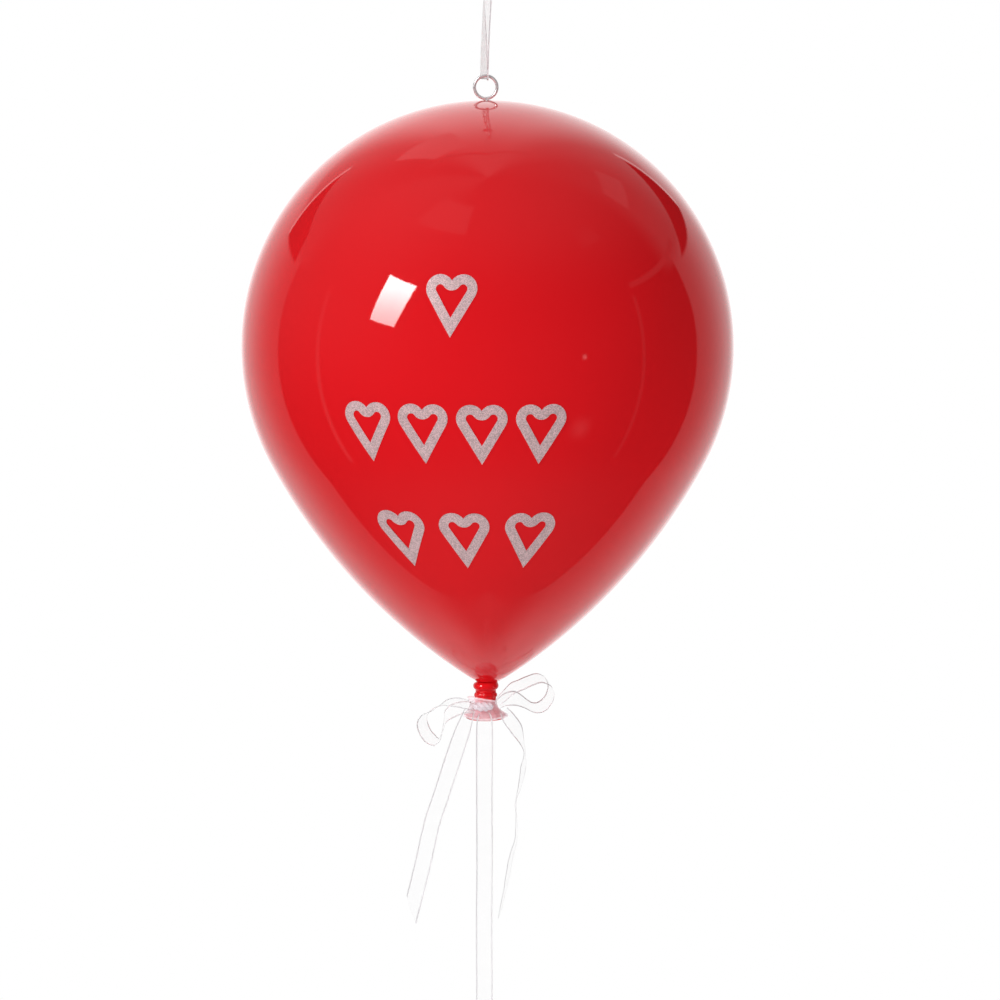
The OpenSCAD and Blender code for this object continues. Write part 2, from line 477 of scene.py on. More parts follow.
@dataclass
class BalloonBody:
    """The hollow shell with its crown boss and mouth socket, and the moulded neck below it."""

    wall: float = 1.5 * MM
    join_angle: float = 28.0
    lower_curve: float = 2.42
    hole: float = 1.55 * MM
    boss: Point = (6 * MM, 4 * MM)
    socket: Point = (5.2 * MM, 10 * MM)
    mouth: float = 3 * MM
    bead_lean: float = -0.75 * MM
    lip_lean: float = -1.0 * MM
    bead_top: float = 1.2 * MM
    neck_length: float = 15 * MM
    throat: float = 6.6 * MM
    throat_reach: float = 3 * MM
    spigot_radius: float = 3.2 * MM
    steps: int = 192

    def __post_init__(self) -> None:
        """Read the shell's size and place from the frame."""
        low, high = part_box("balloon_shell")
        self.radius = high.x
        self.crown = high.z
        self.flat = low.z
        self.centre = self.crown - self.radius
        reach = (self.lower_curve - 1) * self.radius
        lean = math.radians(self.join_angle)
        self.lower = (-reach * math.cos(lean), self.centre + reach * math.sin(lean))

    def skin(self, inset: float, top: float, bottom: float) -> list[Point]:
        """The body's curve from near the crown to near the mouth.

        Args:
            inset: How far inside the outer surface it runs.
            top: Distance from the axis where it starts.
            bottom: Distance from the axis where it ends.

        Returns:
            Points from top to bottom.
        """
        ball = self.radius - inset
        long = self.lower_curve * self.radius - inset
        start = math.degrees(math.acos(top / ball))
        end = -math.degrees(math.acos((bottom - self.lower[0]) / long))
        upper = arc((0.0, self.centre), ball, start, -self.join_angle, 56)
        return upper + arc(self.lower, long, -self.join_angle, end, 36)[1:]

    def build_shell(self, material: Material) -> Object:
        """Turn the outside, mouth socket, inside and crown boss as one outline.

        Args:
            material: The shell's finish.

        Returns:
            The hollow shell.
        """
        outside = self.skin(0.0, self.hole, 5.3 * MM)
        outside[-1] = (outside[-1][0], self.flat)
        socket_top = self.flat + self.socket[1]
        mouth = [
            (self.mouth, self.flat), (self.mouth, socket_top), (self.socket[0], socket_top),
        ]
        inside = self.skin(self.wall, self.boss[0], self.socket[0])[::-1]
        boss = [(self.boss[0], self.crown - self.boss[1]), (self.hole, self.crown - self.boss[1])]
        shell = turned(outside + mouth + inside + boss, self.steps)
        return show(shell, "shell", material, "balloon", ["balloon_shell"])

    def build_neck(self, material: Material) -> Object:
        """Turn the solid neck's outline, given in millimetres over the mouth, then crease and lean it.

        Args:
            material: The neck's finish.

        Returns:
            The neck.
        """
        spigot = [(0.0, 9.5), (2.6, 9.5), (2.95, 9.1), (2.95, 0.25), (3.3, 0.0), (3.9, -0.25)]
        bead = arc((3.45, -2.2), 1.8, 62, -58, 10)
        groove = [(4.3, -3.95), (4.22, -4.25), (4.32, -4.55)]
        collar = arc((3.45, -5.9), 1.25, 62, -45, 8)
        throat = [(4.28, -7.2), (4.26, -8.2), (4.3, -9.4), (4.55, -10.4)]
        flare = [(5.3, -11.6), (6.6, -13.0)]
        lip = arc((7.15, -14.6), 1.2, 82, -110, 14)
        hollow = [(6.0, -15.5), (4.4, -13.9), (2.8, -12.9), (0.0, -12.6)]
        outline = spigot + bead + groove + collar + throat + flare + lip + hollow
        outline = [(radius * MM, self.flat + height * MM) for radius, height in outline]
        neck = turned(outline, 144, closed=False)
        self.crease_throat(neck)
        for vert in neck.verts:
            vert.co.x += self.lean_at(vert.co.z)
        return show(neck, "neck", material, "balloon", ["neck_stopper"])

    def lean_at(self, height: float) -> float:
        """How far to the side the slightly crooked neck stands.

        Args:
            height: Height in the frame.

        Returns:
            The shift along X, which is 0 above the mouth.
        """
        depth = max(0.0, self.flat - height)
        start = self.bead_lean * min(1.0, depth / self.bead_top)
        return start + (self.lip_lean - self.bead_lean) * depth / self.neck_length

    def crease_throat(self, neck: bmesh.types.BMesh) -> None:
        """Press shallow upright creases into the throat between the bead and the ribbon.

        Args:
            neck: The neck's shape, which is changed.
        """
        for vert in neck.verts:
            depth = self.flat - vert.co.z
            share = max(0.0, 1.0 - abs(depth - self.throat) / self.throat_reach)
            if share == 0.0 or vert.co.xy.length < self.spigot_radius:
                continue
            turn = math.atan2(vert.co.y, vert.co.x)
            crease = 0.035 * math.sin(9 * turn + 0.6) + 0.02 * math.sin(5 * turn + depth / MM)
            vert.co.xy *= 1.0 - share * (0.02 + crease)


@dataclass
class ScrewEye:
    """The wire ring on a short stem, with the threaded shank below the crown."""

    wire: float = 0.65 * MM
    ring: float = 4.55 * MM
    collar: float = 1.0 * MM
    pitch: float = 0.6 * MM
    crest: float = 1.5 * MM
    root: float = 1.22 * MM
    aside: float = -0.75 * MM

    def __post_init__(self) -> None:
        """Read the eye's height and the crown's from the frame."""
        low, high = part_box("screw_eye")
        self.tip = low.z
        self.centre = high.z - self.ring - self.wire
        self.foot = self.centre - self.ring
        self.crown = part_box("balloon_shell")[1].z

    def build(self, material: Material) -> Object:
        """Join the ring with its stem and thread.

        Args:
            material: The eye's finish.

        Returns:
            The eye, as one piece.
        """
        eye = self.ring_shape()
        part = bpy.data.meshes.new("stem")
        stem = self.stem_shape()
        stem.to_mesh(part)
        stem.free()
        eye.from_mesh(part)
        bpy.data.meshes.remove(part)
        return show(eye, "eye", material, "balloon", ["screw_eye"])

    def ring_shape(self) -> bmesh.types.BMesh:
        """Turn the wire's circle about the ring's axis, which is Y.

        Returns:
            The ring, in place.
        """
        eye = bmesh.new()
        circle = bmesh.ops.create_circle(eye, segments=20, radius=self.wire)["verts"]
        bmesh.ops.translate(eye, verts=circle, vec=(self.ring, 0, 0))
        bmesh.ops.spin(
            eye, geom=circle + eye.edges[:], cent=(0, 0, 0), axis=(0, 1, 0), dvec=(0, 0, 0),
            angle=math.tau, steps=96, use_merge=True,
        )
        bmesh.ops.remove_doubles(eye, verts=eye.verts[:], dist=MERGE)
        bmesh.ops.translate(eye, verts=eye.verts[:], vec=(self.aside, 0, self.centre))
        bmesh.ops.recalc_face_normals(eye, faces=eye.faces[:])
        return eye

    def stem_shape(self) -> bmesh.types.BMesh:
        """Turn stem, collar and thread, and lean the stem towards the ring.

        Returns:
            The stem and the shank, in place.
        """
        shank = [(0.0, self.foot), (0.6 * MM, self.foot)]
        shank += [(0.66 * MM, self.foot - 0.5 * MM), (0.9 * MM, self.foot - 0.9 * MM)]
        shank += [(self.collar, self.crown - 0.25 * MM), (self.crest, self.crown - 0.3 * MM)]
        height = self.crown - self.pitch
        while height > self.tip + 1.5 * self.pitch:
            shank += [(self.root, height), (self.crest, height - self.pitch / 2)]
            height -= self.pitch
        shank += [(self.root, height), (0.7 * MM, self.tip + 0.05 * MM), (0.0, self.tip)]
        stem = turned(shank, 32, closed=False)
        for vert in stem.verts:
            share = (vert.co.z - self.crown) / (self.foot - self.crown)
            vert.co.x += self.aside * min(1.0, max(0.0, share))
        return stem


# ---------------------------------------------------------------- the ribbons


def smooth_rows(rows: Sequence[Row], spacing: float) -> list[Row]:
    """Rows of one smooth curve through given rows.

    Args:
        rows: Rows that start with x, y and z; what follows is eased along with them.
        spacing: About how far apart the new rows lie.

    Returns:
        The rows, both ends included.
    """
    ends = [rows[0], *rows, rows[-1]]
    made: list[Row] = []
    for before, start, end, after in zip(ends, ends[1:], ends[2:], ends[3:]):
        steps = max(2, round(math.dist(start[:3], end[:3]) / spacing))
        for step in range(steps):
            t = step / steps
            made.append(tuple(
                b + 0.5 * t * (c - a + t * (2 * a - 5 * b + 4 * c - d + t * (3 * b - a - 3 * c + d)))
                for a, b, c, d in zip(before, start, end, after)
            ))
    made.append(tuple(rows[-1]))
    return made


class FarEnd(Enum):
    """Where a ribbon ends."""

    CUT = "bare"
    KNOT = "object"


class Lay(Enum):
    """How a ribbon lies."""

    BOW = "loose"
    HANGING = "hanging"
    TAUT = "taut"


@dataclass
class Ribbon:
    """A flat ribbon laid along a route.

    Each row is x, y and z of the middle line, then the direction in which the width lies, then the width, in
    millimetres; z is counted from datum. A fold of 1 doubles the ribbon along its middle, and 0 leaves it
    flat. A ripple wave is its share, its radians a metre along the ribbon, and its slant across it.
    """

    name: str
    rows: Sequence[Row]
    datum: float
    body: str | None
    stands_for: str
    far_end: FarEnd
    lay: Lay
    width: float = RIBBON_WIDTH
    fold: Callable[[float], float] = lambda share: 0.0
    fold_side: float = 0.25
    fold_lift: float = 0.03
    cut: float = 0.0
    curl: float = 0.05
    ripple: float = 0.06
    ripple_waves: Sequence[Row] = ((1.0, 520.0, 3.5), (0.6, 910.0, -5.0))
    strands: int = 12
    spacing: float = 0.8
    layer_drop: float = 0.1 * MM
    path: list[Vector] = field(default_factory=list)

    def build(self, material: Material) -> Object:
        """Lay a flat grid along the route, double it and make it a piece.

        The second layer keeps the flat grid's normals, so it lies layer_drop away in height.

        Args:
            material: The ribbon's finish.

        Returns:
            The ribbon.
        """
        rows = smooth_rows(self.rows, self.spacing)
        lift = Vector((0, 0, self.datum))
        self.path = [Vector(row[:3]) * MM + lift for row in rows]
        strip = bmesh.new()
        bmesh.ops.create_grid(strip, x_segments=self.strands, y_segments=len(rows) - 1, size=0.5)
        weave = strip.verts.layers.float_vector.new("weave")
        for vert in strip.verts:
            across, share = vert.co.x, vert.co.y + 0.5
            slant = self.cut * MM * across * share ** 6 / self.length()
            vert.co, along = self.point(rows, across, share + slant)
            vert[weave] = (across * self.width * MM, along, 2 * across)
        bmesh.ops.solidify(strip, geom=strip.faces[:], thickness=self.layer_drop)
        bmesh.ops.recalc_face_normals(strip, faces=strip.faces[:])
        return show(strip, self.name, material, self.body, [self.stands_for], 60.0)

    def point(self, rows: Sequence[Row], across: float, share: float) -> tuple[Vector, float]:
        """Where a place on the flat ribbon goes.

        Args:
            rows: The smooth rows.
            across: Place across the ribbon, from -0.5 to 0.5.
            share: Place along it, from 0 to 1.

        Returns:
            The point in the frame, and its distance along the ribbon.
        """
        last = len(rows) - 1
        place = share * last
        index = min(int(place), last - 1)
        part = place - index
        row = [a + (b - a) * part for a, b in zip(rows[index], rows[index + 1])]
        ahead, behind = self.path[min(index + 2, last)], self.path[max(index - 1, 0)]
        along = (ahead - behind).normalized()
        lean = Vector(row[3:6])
        side = (lean - lean.dot(along) * along).normalized()
        up = along.cross(side)
        distance = self.length() * share
        fold = self.fold(share)
        width = row[6] * MM
        sideways = width * ((1 - fold) * across + fold * (abs(across) - self.fold_side))
        arch = self.curl * width * (4 * across * across - 0.5)
        wave = sum(
            size * math.sin(distance * pace + slant * across) for size, pace, slant in self.ripple_waves
        )
        lift = arch + self.ripple * MM * wave + fold * self.fold_lift * width * math.sin(math.pi * across)
        centre = self.path[index].lerp(self.path[index + 1], part)
        return centre + side * sideways + up * lift, distance

    def length(self) -> float:
        """Length of the middle line in metres."""
        return sum((b - a).length for a, b in zip(self.path, self.path[1:]))

    def declare(self, piece: Object, with_pieces: Sequence[Object] = ()) -> None:
        """Work out the length of the route and the width in metres, and keep neither.

        Args:
            piece: The built ribbon; not used.
            with_pieces: Pieces that it carries; not used.
        """
        round(self.length(), 3)
        self.width * MM


@dataclass
class Knot:
    """A ribbon knot: a short bar of gathered ribbon with slanting folds."""

    name: str
    node: str
    body: str
    folds: int = 7
    depth: float = 0.12
    slant: float = 1.1
    squareness: float = 0.8
    aside: float = 0.0

    def build(self, material: Material) -> Object:
        """Shape a rounded bar and press the folds into it.

        Args:
            material: The knot's finish.

        Returns:
            The knot.
        """
        low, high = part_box(self.node)
        middle, half = (low + high) / 2 + Vector((self.aside, 0, 0)), (high - low) / 2
        knot = bmesh.new()
        bmesh.ops.create_uvsphere(knot, u_segments=72, v_segments=36, radius=1.0)
        bmesh.ops.rotate(knot, cent=(0, 0, 0), matrix=Matrix.Rotation(math.pi / 2, 3, "Y"), verts=knot.verts)
        weave = knot.verts.layers.float_vector.new("weave")
        for vert in knot.verts:
            turn = math.atan2(vert.co.z, vert.co.y)
            reach = math.copysign(abs(vert.co.x) ** self.squareness, vert.co.x)
            folds = math.sin(self.folds * (reach * 1.6 + self.slant * math.sin(turn + 0.5)))
            round_share = math.hypot(vert.co.y, vert.co.z)
            press = 1 - self.depth * round_share * (0.5 + 0.5 * folds)
            vert[weave] = (reach * half.x, turn * half.y, 0.9 * folds)
            bar = Vector((reach * half.x, vert.co.y * half.y * press, vert.co.z * half.z * press))
            vert.co = middle + bar
        bmesh.ops.recalc_face_normals(knot, faces=knot.faces[:])
        return show(knot, self.name, material, self.body, [self.node], 70.0)


def lying(route: Sequence[Row], lean: Row, width: float) -> list[Row]:
    """Rows of a route whose width lies one way and keeps one size."""
    return [(*point, *lean, width) for point in route]


@dataclass
class Hanger:
    """The ribbon that carries the balloon: a loop for the hook, a knot, and two legs through the eye."""

    open_width: float = 4.5
    eye_wire: float = 0.65 * MM
    loop_half: Sequence[Point] = (
        (0.9, -22), (2.6, -19), (4.6, -14.5), (5.3, -9), (4.6, -4), (2.6, -0.8),
    )
    leg: Sequence[Point] = ((0.9, 37.4), (1.3, 28), (1.45, 18), (1.45, 9), (1.45, 0), (1, -1.05))
    twist_start: float = -0.0278
    twist_end: float = -0.058

    def build(self, sheer: Material, doubled: Material, tied: Material) -> None:
        """Build the loop, the knot and the legs.

        Args:
            sheer: Finish of a single layer.
            doubled: Finish of a folded ribbon.
            tied: Finish of a knot.
        """
        across = (1.0, 0.0, 0.0)
        loop_route = [(0, -y, z) for y, z in self.loop_half] + [(0, 0, 0.2)]
        loop_route += [(0, y, z) for y, z in self.loop_half[::-1]]
        loop = Ribbon(
            "hook_loop", lying(loop_route, across, self.open_width + 2), 0.0, "hook_end", "hanger_loop",
            FarEnd.KNOT, Lay.TAUT, width=self.open_width, fold=lambda share: 0.55,
        )
        knot = Knot("hook_knot", "hanger_knot", "hook_end", folds=5).build(tied)
        loop.declare(loop.build(sheer), [knot])
        wire_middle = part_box("screw_eye")[1].z - self.eye_wire
        legs_route = [(0, -y, z) for y, z in self.leg] + [(0, 0, -1.45)]
        legs_route += [(0, y, z) for y, z in self.leg[::-1]]
        legs = Ribbon(
            "eye_strap", lying(legs_route, across, RIBBON_WIDTH), wire_middle, None, "hanger_ribbon",
            FarEnd.KNOT, Lay.TAUT, width=3.8, fold=self.leg_fold, fold_side=0.45, ripple=0.04,
        )
        piece = legs.build(doubled)
        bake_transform(piece)
        legs.declare(piece)

    @staticmethod
    def leg_fold(share: float) -> float:
        """Folded in half at the eye, and partly open at the knot."""
        away = abs(2 * share - 1)
        return 1.0 - 0.6 * away ** 1.5


@dataclass
class NeckSkirt:
    """The turn of ribbon tied round the throat, gathered at the top and flared over the neck's lip."""

    outline: Sequence[Point] = (
        (4.75, 7.5), (4.6, 8.2), (4.65, 9.2), (5.0, 10.5), (5.85, 11.7), (7.1, 12.8), (8.25, 13.5),
        (8.8, 14.3), (8.9, 15.1),
    )
    lean: float = -0.9
    pleats: int = 11
    small_pleats: int = 17
    pleat_depth: float = 0.22
    rise: float = 0.9
    droop: float = 0.25
    bulge: float = 3.0
    bulge_turn: float = 3.35
    bulge_spread: float = 0.4
    weave_radius: float = 5 * MM
    layer_gap: float = 0.0
    spacing: float = 0.35
    steps: int = 180

    def build(self, flat: float, material: Material) -> Object:
        """Wrap a flat grid round the throat in pleats, close its seam and double it in place.

        Args:
            flat: Height of the shell's flat mouth.
            material: The skirt's finish.

        Returns:
            The skirt.
        """
        rows = smooth_rows([(radius, 0.0, depth) for radius, depth in self.outline], self.spacing)
        last = len(rows) - 1
        sheet = bmesh.new()
        bmesh.ops.create_grid(sheet, x_segments=self.steps, y_segments=last, size=0.5)
        weave = sheet.verts.layers.float_vector.new("weave")
        for vert in sheet.verts:
            turn, share = math.tau * (0.5 - vert.co.x), vert.co.y + 0.5
            radius, _, depth = rows[round(share * last)]
            around = abs(turn - math.pi) * self.weave_radius
            vert.co = self.point(radius, depth, share, turn) * MM + Vector((0, 0, flat))
            vert[weave] = (share * RIBBON_WIDTH * MM, around, 2 * share - 1)
        bmesh.ops.remove_doubles(sheet, verts=sheet.verts[:], dist=MERGE)
        bmesh.ops.solidify(sheet, geom=sheet.faces[:], thickness=self.layer_gap)
        bmesh.ops.recalc_face_normals(sheet, faces=sheet.faces[:])
        return show(sheet, "neck_turns", material, "balloon", ["neck_wrap"], 70.0)

    def point(self, radius: float, depth: float, share: float, turn: float) -> Vector:
        """Where a place on the plain wrap goes once it is pleated.

        Args:
            radius: Its distance from the neck's axis.
            depth: Its depth below the mouth.
            share: Its place from the upper edge, 0, to the lower, 1.
            turn: Its angle round the neck.

        Returns:
            The point in millimetres, from the middle of the mouth.
        """
        pleat = math.sin(self.pleats * turn + 2 * share) + 0.5 * math.sin(self.small_pleats * turn + 1.0)
        reach = radius + self.pleat_depth * (0.25 + 0.75 * share) * pleat
        away = (turn - self.bulge_turn) / self.bulge_spread
        reach += self.bulge * (1 - share) ** 1.5 * math.exp(-away * away)
        sag = self.rise * (1 - share) * math.cos(turn - 0.5) + self.droop * share * math.sin(3 * turn)
        return Vector((self.lean + reach * math.cos(turn), reach * math.sin(turn), -depth - sag))


@dataclass
class Bow:
    """The ribbon tied round the neck: wrap, knot, two loops, two tails and the long straight string."""

    left_loop: Sequence[Row] = (
        (-5, -6.8, -9.4, 0.2, -0.5, 1, 3.4), (-9, -4.4, -9.2, 0, -3.8, 5.5, 5.6),
        (-12.4, -2.6, -8.9, 0, -4.7, 4.9, 6.6), (-16, -2, -9.2, -0.3, -5.6, 3.9, 6.8),
        (-19.2, -2, -10.1, -0.4, -6.6, 1.4, 6.8), (-22.5, -2.4, -11.9, -1, -6.7, 0, 6.8),
        (-25.4, -3, -14.2, -2.6, -6.2, -0.2, 6.8), (-26.6, -3.8, -17.5, -4.6, -5, -0.2, 6.8),
        (-25.3, -4.6, -21, -4.8, -4.7, -0.7, 6.8), (-23.3, -5.2, -23.3, -4.2, -4.9, -2, 6.8),
        (-21, -5.6, -24.4, -2.4, -6, -2, 6.8), (-19.5, -5.8, -23, -0.3, -6.8, -0.6, 6.8),
        (-18.6, -5.8, -19.8, 0.3, -6.8, 0, 6.8), (-17.8, -5.8, -16.4, 0.4, -6.8, -0.4, 6.8),
        (-16.4, -5.8, -13.4, 1.2, -5.6, -3.7, 6.8), (-14, -5.8, -11.5, 0.6, -4.9, -4.7, 6.8),
        (-11, -5.8, -10.4, 0.2, -4.5, -5, 6.4), (-8, -6.3, -10.1, -0.2, -4, -5, 5.2),
        (-5, -6.8, -10.3, 0, -0.5, -1, 3.4),
    )
    right_loop: Sequence[Row] = (
        (4, -7.6, -8.2, 0.2, -0.6, -0.8, 3.4), (6.1, -7.2, -5.8, 0.35, -0.75, -0.55, 5),
        (10.2, -7.1, -2, 0.39, -0.81, -0.45, 6.6), (13.5, -6.3, -0.7, 0.39, -0.81, -0.45, 6.8),
        (17.2, -5.3, 0.8, 0.39, -0.81, -0.45, 6.8), (20.8, -4, 1.7, 0.39, -0.81, -0.45, 6.8),
        (24.3, -1.5, 0.1, 0.39, -0.81, -0.45, 6.8), (25.8, 0.8, -2.8, 0.39, -0.81, -0.45, 6.8),
        (26, 2.6, -5.8, 0.39, -0.81, -0.45, 6.8), (24.8, 3.7, -8.9, 0.39, -0.81, -0.45, 6.8),
        (22.6, 4, -11.4, 0.39, -0.81, -0.45, 6.8), (19.9, 3.1, -12.1, 0.36, -0.78, -0.5, 6.8),
        (17.2, 1.3, -11, 0.3, -0.7, -0.65, 6.8), (14.3, -1.5, -8.6, 0.25, -0.6, -0.75, 6.8),
        (11.2, -4, -6.9, 0.2, -0.5, -0.85, 6.6), (8.2, -5.8, -6.9, 0.2, -0.5, -0.85, 6),
        (5.6, -6.9, -8, 0.2, -0.5, -0.85, 4.6), (4, -7.4, -9.6, 0.2, -0.5, -0.85, 3.4),
    )
    left_tail: Sequence[Row] = (
        (-7.4, -9.8, -10.6, 1, 0.3, 0.3, 4.6), (-10.2, -9.8, -19, 1, 0.1, 0.2, 6.4),
        (-13.4, -9.8, -28.5, 1, 0, 0, 6.8), (-16.5, -9.8, -38, 1, 0.05, 0, 6.8),
        (-19.7, -9.8, -48, 1, 0, 0, 6.8), (-22.9, -9.8, -58, 1, -0.1, 0, 6.8),
        (-27.1, -9.8, -76.7, 1, 0, 0, 6.8), (-31.6, -9.8, -94.7, 1, 0.1, 0, 6.8),
    )
    right_tail: Sequence[Row] = (
        (6.6, -9.3, -10.8, -2.2, -3.5, -5.3, 4.4), (8.6, -9.1, -14.1, -2.4, -2.8, -5.2, 6),
        (11.8, -9, -18.7, -2.2, -4, -4.6, 6.8), (14.1, -9, -24, -1, -6, -2, 6.8),
        (15.2, -9, -28.5, -0.7, -6.8, 0, 6.8), (14.6, -9, -35, -2.4, -6.4, 0, 6.8),
        (13.4, -9, -42, -1.8, -6.6, 0, 6.8), (11.9, -9, -47.5, -0.5, -6.8, 0, 6.8),
        (11.5, -9, -52, 0.4, -6.8, 0, 6.8), (12, -9, -58.5, -1, -6.7, 0, 6.8),
        (11.6, -9, -65, -1.5, -6.6, 0, 6.8), (9.6, -9, -72.3, -2.1, -6.5, 0, 6.8),
        (8, -9, -81.5, -1.8, -6.6, 0, 6.8), (5, -9, -95.7, -0.9, -6.7, 0, 6.8),
    )
    string: Sequence[Row] = (
        (-1.4, -9, -12.1, 1, 0.2, 0, 4.2), (-1.3, -9, -18, 1, 0, 0, 6.8), (-1.4, -9, -48, 1, 0.1, 0, 6.8),
        (-1.3, -9, -75, 1, 0, 0, 6.8), (-1.5, -9, -100, 1, -0.1, 0, 6.8), (-1.4, -9, -130, 1, 0, 0, 6.8),
        (-1.6, -9, -160, 1, 0.1, 0, 6.8), (-1.5, -9, -202, 1, 0, 0, 6.8),
    )

    def build(self, sheer: Material, gathered: Material, tied: Material) -> None:
        """Build every ribbon of the bow.

        Args:
            sheer: Finish of a single layer.
            gathered: Finish of the wrap.
            tied: Finish of the knot.
        """
        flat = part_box("balloon_shell")[0].z
        knot = Knot("bow_centre", "bow_knot", "balloon", depth=0.26, slant=0.7, aside=-1.2 * MM).build(tied)
        wrap = NeckSkirt().build(flat, gathered)
        cords = [
            Ribbon("left_loop", self.left_loop, flat, "balloon", "bow_loop_left", FarEnd.KNOT, Lay.BOW),
            Ribbon("right_loop", self.right_loop, flat, "balloon", "bow_loop_right", FarEnd.KNOT, Lay.BOW),
            Ribbon(
                "left_tail", self.left_tail, flat, "left_tail", "bow_tail_left", FarEnd.CUT, Lay.HANGING,
                cut=16.0,
            ),
            Ribbon(
                "right_tail", self.right_tail, flat, "right_tail", "bow_tail_right", FarEnd.CUT, Lay.HANGING,
                cut=4.0,
            ),
            Ribbon("string", self.string, flat, "string", "string_ribbon", FarEnd.CUT, Lay.HANGING, cut=3.0),
        ]
        for cord in cords:
            held = [wrap, knot] if cord.name == "left_loop" else []
            cord.declare(cord.build(sheer), held)


# ---------------------------------------------------------------- the studio


@dataclass
class Lamp:
    """A flat soft light that faces the balloon and that its gloss doesn't show.

    Azimuth is counted from the front towards the right, and elevation from the horizon, in degrees.
    """

    name: str
    azimuth: float
    elevation: float
    distance: float
    side: float
    glow: float

    def build(self, target: Vector) -> None:
        """Add the lamp; its power follows from its glow and its size.

        Args:
            target: The point that it faces.
        """
        light = bpy.data.lights.new(self.name, "AREA")
        light.shape = "SQUARE"
        light.size = self.side
        light.energy = self.glow * math.pi * self.side ** 2
        lamp = bpy.data.objects.new(self.name, light)
        bpy.context.scene.collection.objects.link(lamp)
        back = direction(self.azimuth, self.elevation)
        turn = back.to_track_quat("Z", "Y").to_matrix().to_4x4()
        lamp.matrix_world = Matrix.Translation(target + back * self.distance) @ turn
        lamp.visible_camera = False
        lamp.visible_glossy = False


def direction(azimuth: float, elevation: float) -> Vector:
    """The unit vector of a direction as seen from the balloon."""
    a, e = math.radians(azimuth), math.radians(elevation)
    return Vector((math.sin(a) * math.cos(e), -math.cos(a) * math.cos(e), math.sin(e)))


@dataclass
class Panel:
    """A bright or dark patch of the room: corners in degrees, in clockwise order as seen from the balloon."""

    corners: Sequence[Point]
    glow: float
    edge: float = 0.8
    fade: float = 0.0

    def mask(self, azimuth: Signal, elevation: Signal) -> Signal:
        """Tell the patch from its surroundings, with soft edges.

        Args:
            azimuth: Direction from the front towards the right, in degrees.
            elevation: Height over the horizon, in degrees.

        Returns:
            A signal that is 1 inside the patch and 0 outside.
        """
        inside = None
        for (a0, e0), (a1, e1) in zip(self.corners, [*self.corners[1:], self.corners[0]]):
            span = math.dist((a0, e0), (a1, e1))
            across, up = (e1 - e0) / span, (a0 - a1) / span
            depth = azimuth * across + elevation * up - (a0 * across + e0 * up)
            step = depth.rise(-self.edge, self.edge)
            inside = inside * step if inside else step
        return inside

    def light(self, elevation: Signal) -> Any:
        """The patch's glow, which may fade towards its lower edge.

        Args:
            elevation: Height over the horizon, in degrees.

        Returns:
            The glow, as a number or a signal.
        """
        if not self.fade:
            return self.glow
        heights = [height for _, height in self.corners]
        return self.glow * (1.0 - self.fade * elevation.rise(max(heights), min(heights)))


